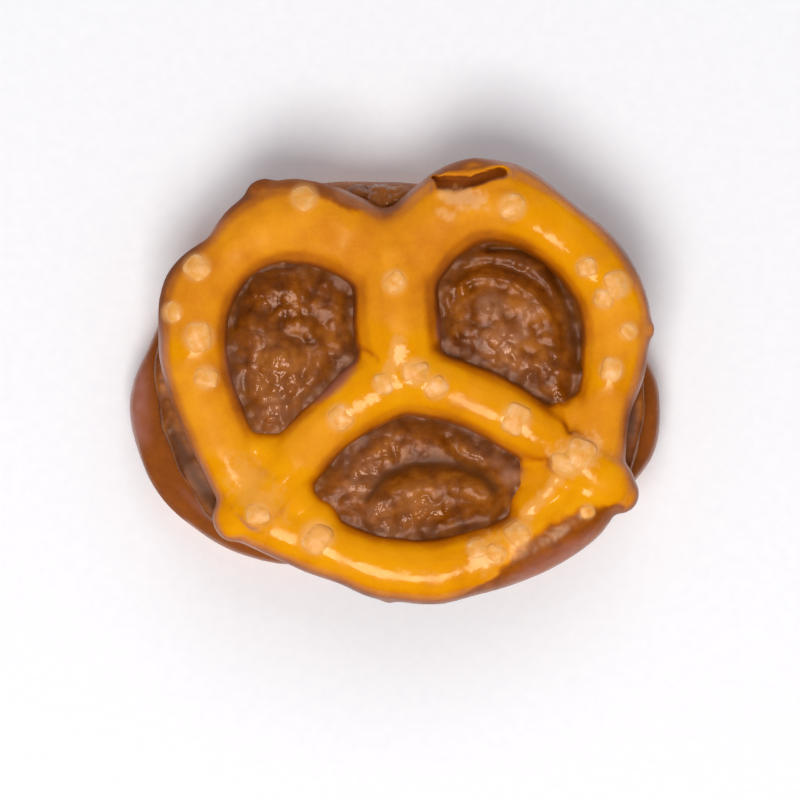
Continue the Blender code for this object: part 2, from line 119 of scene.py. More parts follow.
# Toasted places, where the glaze is thin or the oven was hot: points, half widths and how brown
UPPER_TOASTED = [
    (
        [(5.6, -17.2), (8.4, -16.2), (10.8, -14.4), (12.8, -13.0), (15.0, -11.7), (17.8, -10.4)],
        [0.3, 0.8, 1.5, 1.7, 1.5, 0.6], 0.60,
    ),
    (
        [(-12.8, 15.3), (-10.2, 16.2), (-7.4, 16.1), (-5.4, 15.4), (-3.8, 14.5), (-1.8, 14.2), (0, 14)],
        [0.7, 1.1, 1.1, 1.0, 1.1, 1.0, 0.6], 0.52,
    ),
]
PLAIN_BROWN = 0.15  # how brown the glazed crust is in most places
WALL_SHADE = 0.42  # how much darker its steep sides are made, as painted shade
FLAT_BROWN = 0.62  # how brown the torn dough and the edge of the flat side are
# Places where the glaze has dried dull: x, y and radius
UPPER_DULL = [
    (-9.0, 12.6, 6.0), (-15.6, 7.0, 5.0), (-15.0, -2.0, 4.5), (0.0, 9.0, 5.5), (6.0, 14.0, 4.0),
    (17.0, 4.0, 3.0), (-6.5, -4.8, 2.6), (16.4, -3.4, 3.0),
]
DULL_TONE = 0.06  # how much browner the dull glaze looks
# Walls and rims with a painted mauve reflection of the room, and a pink tint on the rubbed place by the
# tear: points, half widths and strength
UPPER_REFLECTIONS_AND_TINT = [
    ([(-3.2, 2.6), (-3.8, 1.0), (-5.0, -0.4), (-7.6, -2.4)], [0.2, 0.45, 0.5, 0.25], 0.75),
    ([(-13.5, 3.8), (-13.4, 1.6), (-12.6, -0.8), (-11.4, -3.0)], [0.2, 0.4, 0.45, 0.3], 0.45),
    ([(3.4, 5.6), (3.5, 3.6), (4.8, 1.8)], [0.2, 0.35, 0.25], 0.5),
    ([(7.0, -5.2), (8.6, -6.4), (9.4, -7.6), (8.8, -9.0)], [0.3, 0.5, 0.6, 0.3], 0.65),
    ([(8.0, -16.8), (10.6, -15.6), (14.2, -13.6), (17.4, -11.2)], [0.3, 0.7, 0.7, 0.3], 0.7),
    ([(-13.8, -13.0), (-10.4, -14.6), (-6.1, -16.0)], [0.3, 0.5, 0.4], 0.6),
    ([(18.9, -1.0), (19.0, -4.6), (18.9, -8.0)], [0.3, 0.5, 0.4], 0.5),
    ([(-19.4, 6.4), (-18.9, 2.0), (-18.0, -2.6)], [0.3, 0.5, 0.4], 0.5),
    ([(3.2, 14.9), (5.2, 14.6), (7.2, 14.2)], [0.5, 0.6, 0.5], 0.3),
]
# Rubbed and pale places, and painted highlights on the twist and at the end of the right leg: points,
# half width and how pale
UPPER_PALE_AND_HIGHLIT = [
    ([(4.2, 14.6), (6.4, 14.3)], 0.8, 0.8), ([(3.4, 13.4), (4.3, 13.0)], 0.4, 0.6),
    ([(-12.2, -7.6), (-10.4, -10.6)], 1.6, 0.30), ([(13.5, -6.6), (15.4, -5.3)], 1.3, 0.75),
    ([(13.2, -7.6), (11.6, -9.4), (10.4, -10.8)], 0.5, 0.5), ([(0.1, 3.2), (-0.8, 0.0)], 0.5, 0.45),
    ([(0.2, 1.4), (1.5, 0.2)], 0.5, 0.35), ([(7.0, -14.2), (7.6, -13.2)], 1.1, 0.45),
]
SALT_HALO = 0.7  # how much of the salt's colour shows through the glaze beside it


def rope(points):
    """A rope of dough through x, y, radius and lift of its middle."""
    bpy.ops.curve.primitive_bezier_curve_add(location=(0, 0, 0))
    curve = bpy.context.object.data
    curve.bevel_depth = 1.0
    curve.bevel_resolution = 5
    curve.resolution_u = 6
    curve.use_fill_caps = True
    spline = curve.splines[0]
    spline.bezier_points.add(len(points) - 2)
    for knot, (x, y, radius, lift) in zip(spline.bezier_points, points):
        knot.co = Vector((x, y, lift)) * MM
        knot.radius = radius * MM
        knot.handle_left_type = knot.handle_right_type = "AUTO"
    bpy.ops.object.convert(target="MESH")
    return bpy.context.object


def bump(x, y, height, radius):
    """A round swelling of the dough."""
    place = Vector((x, y, height)) * MM
    bpy.ops.mesh.primitive_uv_sphere_add(
        segments=24, ring_count=16, radius=radius * MM, location=place
    )
    return bpy.context.object


def fuse(pieces, name, voxel, softening):
    """One skin over overlapping pieces, with softened joins."""
    bpy.ops.object.select_all(action="DESELECT")
    for piece in pieces:
        piece.select_set(True)
    bpy.context.view_layer.objects.active = pieces[0]
    bpy.ops.object.join()
    whole = bpy.context.object
    whole.name = whole.data.name = name
    skin = whole.modifiers.new("Skin", "REMESH")
    skin.mode = "VOXEL"
    skin.voxel_size = voxel * MM
    soften = whole.modifiers.new("Soften", "SMOOTH")
    soften.factor = 0.5
    soften.iterations = softening
    bpy.ops.object.modifier_apply(modifier=skin.name)
    bpy.ops.object.modifier_apply(modifier=soften.name)
    return whole


def spots_of(piece):
    """Places of all points of a piece, in millimetres."""
    flat = np.empty(len(piece.data.vertices) * 3, np.float32)
    piece.data.vertices.foreach_get("co", flat)
    return flat.reshape(-1, 3).astype(float) / MM


def facing(piece):
    """Directions in which the points of a piece face."""
    flat = np.empty(len(piece.data.vertices) * 3, np.float32)
    piece.data.vertex_normals.foreach_get("vector", flat)
    return flat.reshape(-1, 3).astype(float)


def reshape(piece, spots):
    piece.data.vertices.foreach_set("co", (spots * MM).astype(np.float32).ravel())
    piece.data.update()


def uneven(spots, size, seed):
    """Smooth random numbers, from about -1 to 1, over patches of this size."""
    shift = Vector((seed, 0, 0))
    return np.array([noise.noise(Vector(spot) / size + shift) for spot in spots])


def from_line(spots, line):
    """Distance in plan from a line of points, and how far along it, counted in points."""
    nearest = np.full(len(spots), 1e9)
    along = np.zeros(len(spots))
    for number, (start, end) in enumerate(zip(line, line[1:])):
        start = np.array(start, float)
        step = np.array(end, float) - start
        share = np.clip((spots[:, :2] - start) @ step / (step @ step), 0, 1)
        gap = np.linalg.norm(spots[:, :2] - start - share[:, None] * step, axis=1)
        closer = gap < nearest
        nearest[closer] = gap[closer]
        along[closer] = number + share[closer]
    return nearest, along


def fade(values, zero_at, one_at):
    """From 0 at one value to 1 at the other, with soft ends."""
    share = np.clip((values - zero_at) / (one_at - zero_at), 0, 1)
    return share * share * (3 - 2 * share)


def pretzel(name, strands, bumps, seed):
    """A face-up pretzel about its own centre plane, before any marks are put on it."""
    pieces = [rope(points) for points in strands.values()]
    pieces += [bump(*place) for place in bumps]
    body = fuse(pieces, name, CRUST_VOXEL, CRUST_SOFTENING)
    spots = spots_of(body)
    swell = uneven(spots, DOUGH_SWELL_SIZE, seed) * DOUGH_SWELL
    spots += facing(body) * swell[:, None]
    spots[:, 2] *= SECTION_RISE
    reshape(body, spots)
    return body


def crease(body, creases):
    """Presses creases into the upper side."""
    for line, half_width, depth in creases:
        spots = spots_of(body)
        gap, _ = from_line(spots, line)
        press = np.exp(-((gap / half_width) ** 2)) * depth * fade(spots[:, 2], 0.0, 1.0)
        reshape(body, spots - facing(body) * press[:, None])


def swell_round(body, grains):
    """Lets the glaze climb a little round each salt crystal."""
    spots = spots_of(body)
    rise = np.zeros(len(spots))
    for x, y, half in grains:
        gap = np.hypot(spots[:, 0] - x, spots[:, 1] - y)
        swell = np.exp(-((gap / (half * SALT_SWELL_REACH)) ** 4)) * SALT_SWELL
        rise = np.maximum(rise, swell)
    rise *= fade(spots[:, 2], 0.2, 1.2)
    reshape(body, spots + facing(body) * rise[:, None])


def haloes(spots, grains):
    """How much of the salt shows through the glaze at each point."""
    halo = np.zeros(len(spots))
    for x, y, half in grains:
        gap = np.hypot(spots[:, 0] - x, spots[:, 1] - y) / half
        halo = np.maximum(halo, fade(gap, 1.6, 0.8) * SALT_HALO)
    return halo


def flattened(heights):
    """Flattens the side that lay on the baking band, with a rounded edge."""
    return np.logaddexp(heights / EDGE_ROUNDING, -FLAT_DEPTH / EDGE_ROUNDING) * EDGE_ROUNDING


def reflected_and_tinted(spots, patches, seed):
    """How strong the painted mauve reflection and the pink tint are at each point."""
    mauve_reflection_and_tint = np.zeros(len(spots))
    for line, half_widths, strength in patches:
        gap, along = from_line(spots, line)
        reach = np.interp(along, range(len(line)), half_widths)
        ends = fade(along, 0, 0.8) * fade(along, len(line) - 1, len(line) - 1.8)
        mauve_reflection_and_tint = np.maximum(mauve_reflection_and_tint, fade(gap / reach, 1.9, 0.3) * ends * strength)
    return mauve_reflection_and_tint * (0.85 + uneven(spots, 0.8, seed) * 0.5)


def dulled(spots, patches, seed):
    """How dull the crust is at each point: most in the patches, and where no glaze reached."""
    dull = np.zeros(len(spots))
    for x, y, radius in patches:
        gap = np.hypot(spots[:, 0] - x, spots[:, 1] - y) / radius
        dull = np.maximum(dull, fade(gap, 1.1, 0.6))
    dull = np.clip(dull + uneven(spots, 1.8, seed) * 0.45, 0, 1)
    return np.maximum(dull, fade(spots[:, 2], -0.9, -1.6))


def store(piece, name, values):
    """Keeps a number for each point, which the material reads."""
    attribute = piece.data.attributes.new(name, "FLOAT", "POINT")
    attribute.data.foreach_set("value", values.astype(np.float32))


def browned_and_shaded(body, patches, seed):
    """How brown the crust is at each point: in the patches and a little at random, with painted shade
    on the steep sides.
    """
    spots = spots_of(body)
    upward = facing(body)[:, 2]
    ragged = uneven(spots, 0.9, seed) * 0.35 + uneven(spots, 0.35, seed + 4) * 0.12
    toast_and_shade = PLAIN_BROWN + uneven(spots, 5.0, seed + 9) * 0.12 + uneven(spots, 1.6, seed + 12) * 0.07
    # Painted shade: the steep sides, which the light from above reaches less, are darkened in the
    # colour.
    toast_and_shade += WALL_SHADE * fade(upward, 0.88, 0.35)
    for line, half_widths, brown in patches:
        gap, along = from_line(spots, line)
        reach = np.interp(along, range(len(line)), half_widths)
        amount = fade(gap / reach + ragged, 1.45, 0.5) * fade(spots[:, 2], -1.9, -0.6)
        toast_and_shade = np.maximum(toast_and_shade, amount * (brown + ragged * 0.2))
    return toast_and_shade


upper_crust = pretzel("crust_top", UPPER_STRANDS, UPPER_BUMPS, UPPER_SEED)
crease(upper_crust, UPPER_CREASES)
swell_round(upper_crust, UPPER_SALT)

# The tear: lips stand up on both sides of a ragged slot
spots = spots_of(upper_crust)
gap, along = from_line(spots, TEAR)
half_widths = np.interp(along, range(len(TEAR)), TEAR_HALF_WIDTHS)
gap += uneven(spots, 0.7, 21) * 0.10
above = fade(spots[:, 2], 0.3, 1.2)
torn = fade(gap / half_widths, 1.25, 0.55) * above
lip = np.exp(-(((gap - half_widths * 1.7) / 0.35) ** 2)) * above
spots[:, 2] += lip * TEAR_LIP - torn * TEAR_DEPTH
reshape(upper_crust, spots)

# Flat side underneath, what the glaze and the oven did at each place, and painted shade on the steep
# sides
spots = spots_of(upper_crust)
spots[:, 2] = flattened(spots[:, 2])
reshape(upper_crust, spots)
dull = dulled(spots, UPPER_DULL, 52)
toast_and_shade = browned_and_shaded(upper_crust, UPPER_TOASTED, 31) + dull * DULL_TONE
toast_and_shade = np.maximum(toast_and_shade, torn * FLAT_BROWN)
# Pale places: rubbed crust, salt showing through the glaze, and the painted highlights listed above
pale = np.zeros(len(spots))
for line, half_width, amount in UPPER_PALE_AND_HIGHLIT:
    gap, _ = from_line(spots, line)
    ragged = uneven(spots, 0.6, 47) * 0.6 + uneven(spots, 0.25, 49) * 0.5
    pale = np.maximum(pale, fade(gap / half_width + ragged, 1.3, 0.4) * amount)
pale = np.maximum(pale, haloes(spots, UPPER_SALT)) * fade(spots[:, 2], 0.3, 1.0)
store(upper_crust, "toast_and_shade", toast_and_shade)
store(upper_crust, "pale", pale)
store(upper_crust, "dull", dull)
store(upper_crust, "mauve_reflection_and_tint", reflected_and_tinted(spots, UPPER_REFLECTIONS_AND_TINT, 57))
reshape(upper_crust, spots + np.array(UPPER_PLACE))
upper_crust.data.shade_smooth()


def linear(hex_colour):
    """A colour written as sRGB hex, as the shader's linear numbers."""
    parts = [int(hex_colour[i : i + 2], 16) / 255 for i in (1, 3, 5)]
    parts = [p / 12.92 if p <= 0.04045 else ((p + 0.055) / 1.055) ** 2.4 for p in parts]
    return (*parts, 1.0)


def add(tree, kind, links=(), settings=(), **inputs):
    """A node with its settings, its input values and the links into it."""
    node = tree.nodes.new(kind)
    for name, value in dict(settings).items():
        setattr(node, name, value)
    for name, value in inputs.items():
        node.inputs[name.replace("_", " ")].default_value = value
    for name, socket in dict(links).items():
        tree.links.new(socket, node.inputs[name])
    return node


def colour_steps(ramp_node, steps):
    """Sets a colour ramp's stops."""
    ramp = ramp_node.color_ramp
    while len(ramp.elements) > 2:
        ramp.elements.remove(ramp.elements[-1])
    for element, (position, colour) in zip(ramp.elements, (steps[0], steps[-1])):
        element.position = position
        element.color = linear(colour)
    for position, colour in steps[1:-1]:
        ramp.elements.new(position).color = linear(colour)


def per_mm(size):
    """Texture scale for a pattern of this size in millimetres."""
    return 1 / (size * MM)


# Baked and glazed pretzel crust. A lye or soda dip and a glaze give a thin, hard, golden skin with a
# wet gloss. It browns where it was hottest and is duller in the torn and rubbed places. Painted shade
# on its steep sides, painted highlights and a painted mauve reflection are mixed into its colour.
glazed_crust = bpy.data.materials.new("glazed_baked_crust")
glazed_crust.use_nodes = True
tree = glazed_crust.node_tree
shader = tree.nodes["Principled BSDF"]
place = add(tree, "ShaderNodeTexCoord").outputs["Object"]
toast_and_shade_of = add(tree, "ShaderNodeAttribute", settings={"attribute_name": "toast_and_shade"}).outputs["Fac"]
pale_of = add(tree, "ShaderNodeAttribute", settings={"attribute_name": "pale"}).outputs["Fac"]
mottle = add(
    tree, "ShaderNodeTexNoise", {"Vector": place}, Scale=per_mm(1.6), Detail=4.0, Roughness=0.6
)
speckle = add(
    tree, "ShaderNodeTexNoise", {"Vector": place}, Scale=per_mm(0.35), Detail=2.0, Roughness=0.5
)
mottled = add(
    tree, "ShaderNodeMath", {0: mottle.outputs["Fac"], 2: toast_and_shade_of},
    {"operation": "MULTIPLY_ADD"},
)
mottled.inputs[1].default_value = 0.16
speckled = add(
    tree, "ShaderNodeMath", {0: speckle.outputs["Fac"], 2: mottled.outputs[0]},
    {"operation": "MULTIPLY_ADD"},
)
speckled.inputs[1].default_value = 0.08
brownness = add(tree, "ShaderNodeMath", {0: speckled.outputs[0]}, {"operation": "SUBTRACT"})
brownness.inputs[1].default_value = 0.12
crust_colours = add(tree, "ShaderNodeValToRGB", {"Fac": brownness.outputs[0]})
colour_steps(
    crust_colours,
    [(0.0, "#f5a60a"), (0.14, "#ee9902"), (0.30, "#d87e00"), (0.48, "#ae5a02"), (0.66, "#863f04"),
     (1.0, "#472003")],
)
# Pale places, the painted highlights among them, take this lighter peach colour
paled = add(
    tree, "ShaderNodeMix", {"Factor": pale_of, 6: crust_colours.outputs["Color"]},
    {"data_type": "RGBA"},
)
paled.inputs[7].default_value = linear("#f2b064")
# Painted reflection: the room's mauve reflection on walls and rims is mixed into the colour
mauve_reflection_and_tint_of = add(tree, "ShaderNodeAttribute", settings={"attribute_name": "mauve_reflection_and_tint"}).outputs["Fac"]
reflection_mix = add(
    tree, "ShaderNodeMix", {"Factor": mauve_reflection_and_tint_of, 6: paled.outputs[2]}, {"data_type": "RGBA"}
)
reflection_mix.inputs[7].default_value = linear("#a96b5c")
tree.links.new(reflection_mix.outputs[2], shader.inputs["Base Color"])
dull_of = add(tree, "ShaderNodeAttribute", settings={"attribute_name": "dull"}).outputs["Fac"]
browner = add(
    tree, "ShaderNodeMath", {0: speckled.outputs[0], 2: dull_of}, {"operation": "MULTIPLY_ADD"}
)
browner.inputs[1].default_value = 0.5
dullness = add(
    tree, "ShaderNodeMapRange", {"Value": browner.outputs[0]}, From_Min=0.1, From_Max=1.3,
    To_Min=0.13, To_Max=0.80,
)
tree.links.new(dullness.outputs["Result"], shader.inputs["Roughness"])
pores = add(
    tree, "ShaderNodeTexVoronoi", {"Vector": place}, {"feature": "SMOOTH_F1"}, Scale=per_mm(0.9)
)
pimples = add(
    tree, "ShaderNodeTexNoise", {"Vector": place}, Scale=per_mm(0.8), Detail=1.0, Roughness=0.5
)
pored = add(
    tree, "ShaderNodeBump", {"Height": pores.outputs["Distance"]}, Strength=0.25, Distance=0.03 * MM
)
skin_bump = add(
    tree, "ShaderNodeBump", {"Height": pimples.outputs["Fac"], "Normal": pored.outputs["Normal"]},
    Strength=0.6, Distance=0.07 * MM,
)
tree.links.new(skin_bump.outputs["Normal"], shader.inputs["Normal"])
shader.inputs["IOR"].default_value = 1.45
shader.inputs["Specular IOR Level"].default_value = 0.50
shader.inputs["Specular Tint"].default_value = linear("#ffecc8")
shader.inputs["Subsurface Weight"].default_value = 0.06
shader.inputs["Subsurface Radius"].default_value = (1.0, 0.45, 0.15)
shader.inputs["Subsurface Scale"].default_value = 0.5 * MM

upper_crust.data.materials.clear()
upper_crust.data.materials.append(glazed_crust)
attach(upper_crust, "root")
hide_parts("top_pretzel")

# Salt on the upper pretzel. Coarse crystals were strewn on the wet dough and baked in. The glaze has
# run over them, so they show as soft, pale, squarish lumps that are half sunk.
CRYSTAL_SINK = 0.26  # how deep the middle lies below the crust, as a share of the half length
SQUARENESS = 3.6  # 2 would make the crystals round
CRYSTAL_WEAR = 0.16  # how uneven they are, as a share of the half length


def crystal(half, draw):
    """One worn, squarish block of coarse salt about the origin, its broad side up."""
    bpy.ops.mesh.primitive_uv_sphere_add(segments=40, ring_count=20, radius=MM, location=(0, 0, 0))
    block = bpy.context.object
    spots = spots_of(block)
    turn = np.arctan2(spots[:, 1], spots[:, 0])
    square = np.abs(np.cos(turn)) ** SQUARENESS + np.abs(np.sin(turn)) ** SQUARENESS
    spots[:, :2] *= (square ** (-1 / SQUARENESS))[:, None]
    sizes = np.array((draw.uniform(1.10, 1.25), draw.uniform(0.95, 1.10), draw.uniform(0.40, 0.46)))
    spots *= sizes * half
    worn = uneven(spots, half * 1.1, draw.uniform(0, 50)) * half * CRYSTAL_WEAR
    spots += worn[:, None] * facing(block)
    reshape(block, spots)
    return block


def strew(crust, name, grains, seed, from_above):
    """Sets a crystal into the crust at each place, facing as the crust does, and joins them."""
    draw = random.Random(seed)
    side = 1 if from_above else -1
    blocks = []
    for x, y, half in grains:
        start = Vector((x, y, 40 * side)) * MM
        hit, point, normal, _ = crust.ray_cast(start, Vector((0, 0, -side)))
        if not hit:
            continue
        block = crystal(half, draw)
        tilt = Vector((0, 0, 1)).rotation_difference(normal).to_matrix().to_4x4()
        spin = Matrix.Rotation(draw.uniform(0, math.pi), 4, "Z")
        sunk = point - normal * half * CRYSTAL_SINK * MM
        block.data.transform(Matrix.Translation(sunk) @ tilt @ spin)
        blocks.append(block)
    bpy.ops.object.select_all(action="DESELECT")
    for block in blocks:
        block.select_set(True)
    bpy.context.view_layer.objects.active = blocks[0]
    bpy.ops.object.join()
    whole = bpy.context.object
    whole.name = whole.data.name = name
    whole.data.shade_smooth()
    return whole


def placed(grains, place):
    """The crystals' places in the sandwich."""
    return [(x + place[0], y + place[1], half) for x, y, half in grains]


upper_salt = strew(
    upper_crust, "salt_top", placed(UPPER_SALT, UPPER_PLACE), seed=5, from_above=True
)

# Glazed coarse salt: cloudy sodium chloride under a film of glaze, so it is pale peach, lets some
# light into it and has a soft gloss.
glazed_salt = bpy.data.materials.new("glazed_coarse_salt")
glazed_salt.use_nodes = True
tree = glazed_salt.node_tree
shader = tree.nodes["Principled BSDF"]
place = add(tree, "ShaderNodeTexCoord").outputs["Object"]
cloud = add(
    tree, "ShaderNodeTexNoise", {"Vector": place}, Scale=per_mm(0.8), Detail=3.0, Roughness=0.6
)
salt_colours = add(tree, "ShaderNodeValToRGB", {"Fac": cloud.outputs["Fac"]})
colour_steps(salt_colours, [(0.3, "#ee9e3a"), (0.5, "#f4ae54"), (0.72, "#fbc080")])
tree.links.new(salt_colours.outputs["Color"], shader.inputs["Base Color"])
grit = add(
    tree, "ShaderNodeTexNoise", {"Vector": place}, Scale=per_mm(0.3), Detail=2.0, Roughness=0.5
)
grit_bump = add(
    tree, "ShaderNodeBump", {"Height": grit.outputs["Fac"]}, Strength=0.5, Distance=0.05 * MM
)
tree.links.new(grit_bump.outputs["Normal"], shader.inputs["Normal"])
shader.inputs["Roughness"].default_value = 0.4
shader.inputs["IOR"].default_value = 1.54
shader.inputs["Specular IOR Level"].default_value = 0.3
shader.inputs["Subsurface Weight"].default_value = 0.12
shader.inputs["Subsurface Radius"].default_value = (1.0, 0.75, 0.5)
shader.inputs["Subsurface Scale"].default_value = 0.4 * MM

upper_salt.data.materials.clear()
upper_salt.data.materials.append(glazed_salt)
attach(upper_salt, "root")
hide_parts("top_pretzel")

# Chocolate filling. A thick, sugary paste is piped onto one pretzel and squeezed by the other, so it
# stands out at the sides and wells up in the holes in folds, lumps and swirls.
FILLING_VOXEL = 0.2
FILLING_SOFTENING = 12
LOWER_FLAT = 5.0  # flat side of the lower pretzel
UPPER_FLAT = 7.6  # flat side of the upper one
LOWER_OVERLAP = 0.3  # how far the slab of paste reaches into the lower crust
UPPER_OVERLAP = 0.4
FILLING_LEVELS = (1.835, 10.765)  # face of the filling in the lower and the upper holes
# Outline between the pretzels
FILLING_OUTLINE = [
    (-18.4, 5.0), (-19.3, 1.4), (-19.2, -2.2), (-18.0, -5.8), (-16.6, -8.8), (-15.0, -11.0),
    (-12.0, -12.6), (-8.0, -14.0), (-3.8, -15.2), (1.0, -16.4), (6.6, -15.6), (11.6, -13.6),
    (15.4, -11.4), (18.0, -8.8), (19.3, -5.4), (19.9, -1.6), (19.6, 2.6), (18.6, 6.8),
    (16.0, 11.0), (12.0, 13.6), (8.0, 15.2), (3.6, 15.4), (-0.6, 15.1), (-4.4, 14.9),
    (-8.8, 14.5), (-12.8, 12.6), (-16.2, 9.0),
]
# Lumps and dips of the paste in the upper holes: x, y, length, width, degrees, and height
LUMPS = [
    (-8.9, 1.8, 1.4, 1.3, 0, 0.75), (-9.2, 0.6, 3.4, 3.8, 0, 0.35), (-9.6, 7.4, 2.6, 0.8, -8, 0.25),
    (-9.7, -2.6, 1.4, 1.6, 15, 0.35), (-11.0, 4.2, 1.2, 1.0, 0, 0.25), (-6.0, 4.6, 0.8, 2.2, 15, -0.25),
    (8.8, 4.8, 4.0, 3.6, 0, 0.30), (7.3, 5.9, 1.1, 0.9, 0, 0.45), (10.5, 5.6, 1.1, 1.0, 0, 0.45),
    (8.7, 3.4, 1.4, 1.1, -10, 0.45), (8.9, 1.5, 0.9, 0.9, 0, 0.30), (13.4, 3.0, 0.5, 3.2, 6, -0.45),
    (11.2, 1.4, 1.0, 1.2, -30, 0.20), (4.6, 3.9, 0.8, 1.0, 0, 0.25),
    (2.8, -9.6, 5.0, 1.8, 4, 0.30), (-2.2, -7.0, 1.8, 2.4, -30, 0.15),
]
# Ridges and grooves of the paste in the mouth: points, half width and height
FOLDS = [
    ([(-1.4, -10.4), (0.2, -8.9), (2.6, -8.2), (5.0, -8.3), (7.2, -9.3)], 1.3, 0.75),
    ([(-3.0, -10.4), (-2.0, -9.0), (-0.9, -7.6), (1.6, -6.7), (4.0, -6.7), (6.8, -7.9)], 0.70, -0.20),
    ([(3.9, -4.6), (5.0, -6.0), (6.9, -6.9)], 0.32, -0.35),
    ([(-8.0, 4.4), (-7.0, 4.0), (-6.1, 2.6), (-6.3, 0.8), (-7.4, -0.4)], 0.65, 0.24),
    ([(-8.6, 3.4), (-7.9, 3.1), (-7.2, 2.2), (-7.1, 1.2), (-7.8, 0.2)], 0.60, -0.24),
    ([(5.0, 7.6), (6.6, 8.3), (8.8, 8.0), (10.8, 6.9), (12.0, 5.2)], 0.30, 0.32),
    ([(5.4, 8.9), (7.4, 9.3), (9.6, 8.8), (11.8, 7.3), (12.9, 5.0)], 0.36, -0.34),
    ([(6.4, 10.0), (8.6, 10.1), (10.8, 9.2), (12.6, 7.2)], 0.34, 0.16),
    ([(4.0, 6.6), (4.2, 5.0), (5.0, 3.2)], 0.30, 0.25),
]
MOAT_DEPTH = 0.45  # how far the paste sinks where it meets the crust
MOAT_WIDTH = 1.1
# Grooves, sunk into the upper holes and darkened with painted shade; on the squeezed sides they are
# painted shade only: points, half widths and depth
GULLIES = [
    (
        [(7.4, 10.5), (10.2, 10.4), (12.2, 9.5), (13.6, 6.4), (14.3, 3.4), (14.5, 1.4)],
        [0.2, 0.3, 0.45, 0.7, 0.8, 0.5], 0.6,
    ),
    ([(-18.2, -4.0), (-17.0, -6.4), (-14.8, -10.0)], [0.4, 0.5, 0.4], 0.3),
    ([(19.2, 3.0), (18.8, 0.0), (18.8, -4.0)], [0.4, 0.5, 0.4], 0.3),
    ([(-12.9, 4.2), (-12.6, 6.6), (-11.4, 8.6), (-8.6, 9.1)], [0.2, 0.3, 0.3, 0.2], 0.2),
    (
        [(-2.4, -9.6), (-0.9, -7.6), (1.6, -6.6), (4.0, -6.5), (6.8, -7.6), (7.8, -8.8)],
        [0.3, 0.5, 0.6, 0.6, 0.5, 0.4], 0.12,
    ),
]
# Places where the paste is grainy: x, y, radius, how grainy, and how much painted pink sheen lies there
GRAINY = [
    (-9.8, -0.2, 3.6, 0.9, 0.2), (-9.7, -2.5, 1.7, 1.0, 0.5), (-11.5, 6.6, 1.8, 0.8, 0.05),
    (-8.6, 6.0, 2.8, 0.55, 0), (-5.4, 1.4, 1.0, 0.6, 0.05), (8.6, 1.6, 1.2, 1.0, 0.6),
    (10.7, 0.6, 0.9, 1.0, 0.2), (12.6, 1.2, 0.9, 1.0, 0.1), (13.0, -1.0, 0.8, 1.0, 0),
    (4.2, 4.8, 1.3, 0.8, 0.1), (10.0, 9.3, 1.2, 0.7, 0.1), (5.2, 7.4, 1.4, 0.7, 0),
    (7.4, 5.9, 1.1, 0.55, 0.6), (10.7, 5.6, 0.9, 0.6, 0.5), (8.4, 3.5, 0.9, 0.5, 0.45),
    (9.8, 3.7, 0.7, 0.5, 0.4), (-2.8, -7.6, 2.0, 0.85, 0.3), (-0.8, -5.6, 1.6, 0.7, 0.1),
    (-1.6, -10.9, 1.4, 1.0, 0.35), (0.8, -10.9, 1.2, 1.0, 0.2), (3.4, -10.8, 1.1, 0.9, 0),
    (6.4, -5.6, 1.1, 0.9, 0.2), (-18.4, -4.0, 0.7, 0.7, 0.3), (-1.6, 14.4, 2.2, 1.0, 0.2),
    (9.2, -7.5, 1.0, 0.3, 0.6), (8.0, -6.4, 0.7, 0.5, 0.4), (-3.8, 1.4, 0.7, 0.3, 0.45),
    (-4.8, 0.2, 0.7, 0.3, 0.45), (-6.0, -0.9, 0.7, 0.3, 0.45), (-7.2, -2.0, 0.6, 0.4, 0.45),
    (-10.4, -3.2, 0.6, 1.0, 0.5), (-8.9, -3.4, 0.6, 1.0, 0.5), (1.8, -10.2, 1.6, 1.0, 0.25),
    (-0.6, -12.2, 0.9, 1.0, 0.5), (8.2, 3.0, 1.6, 0.7, 0.3),
]
# Where the paste wells up in the dip at the back: x, y, height and radius
WELLED = [(-3.2, 14.4, 7.7, 1.3), (-1.4, 14.2, 7.9, 1.5), (0.4, 14.3, 7.8, 1.3)]
PLAIN_GRAIN = 0.36  # how grainy the rest of the paste is
SIDE_SMOOTHNESS = 0.75  # how much less grainy its squeezed sides are


def slab(outline, low, high):
    """A block of paste with this outline between two heights."""
    bpy.ops.curve.primitive_bezier_curve_add(location=(0, 0, (low + high) / 2 * MM))
    piece = bpy.context.object
    curve = piece.data
    curve.dimensions = "2D"
    curve.fill_mode = "BOTH"
    curve.extrude = (high - low) / 2 * MM
    curve.resolution_u = 4
    spline = curve.splines[0]
    spline.bezier_points.add(len(outline) - 2)
    spline.use_cyclic_u = True
    for knot, (x, y) in zip(spline.bezier_points, outline):
        knot.co = Vector((x, y, 0)) * MM
        knot.handle_left_type = knot.handle_right_type = "AUTO"
    bpy.ops.object.convert(target="MESH")
    bpy.ops.object.transform_apply(location=True, rotation=False, scale=False)
    bpy.ops.object.mode_set(mode="EDIT")
    bpy.ops.mesh.select_all(action="SELECT")
    bpy.ops.mesh.remove_doubles(threshold=0.005 * MM)
    bpy.ops.mesh.normals_make_consistent(inside=False)
    bpy.ops.object.mode_set(mode="OBJECT")
    return bpy.context.object


def ring_of(strands):
    """The closed centre line round the outside of a pretzel."""
    return [(x, y) for name in ("left_loop", "rim", "right_loop") for x, y, _, _ in strands[name][:-1]]


def from_crust(spots, strands):
    """Distance in plan from the nearest strand's side."""
    nearest = np.full(len(spots), 1e9)
    for points in strands.values():
        gap, along = from_line(spots, [(x, y) for x, y, _, _ in points])
        radii = np.interp(along, range(len(points)), [radius for _, _, radius, _ in points])
        nearest = np.minimum(nearest, gap - radii)
    return nearest


def lump_height(spots, lumps):
    """Height of the lumps at each place."""
    height = np.zeros(len(spots))
    for x, y, length, width, degrees, rise in lumps:
        turn = math.radians(degrees)
        dx, dy = spots[:, 0] - x, spots[:, 1] - y
        u = (dx * math.cos(turn) + dy * math.sin(turn)) / length
        v = (dy * math.cos(turn) - dx * math.sin(turn)) / width
        height += rise * np.exp(-(u * u + v * v))
    return height


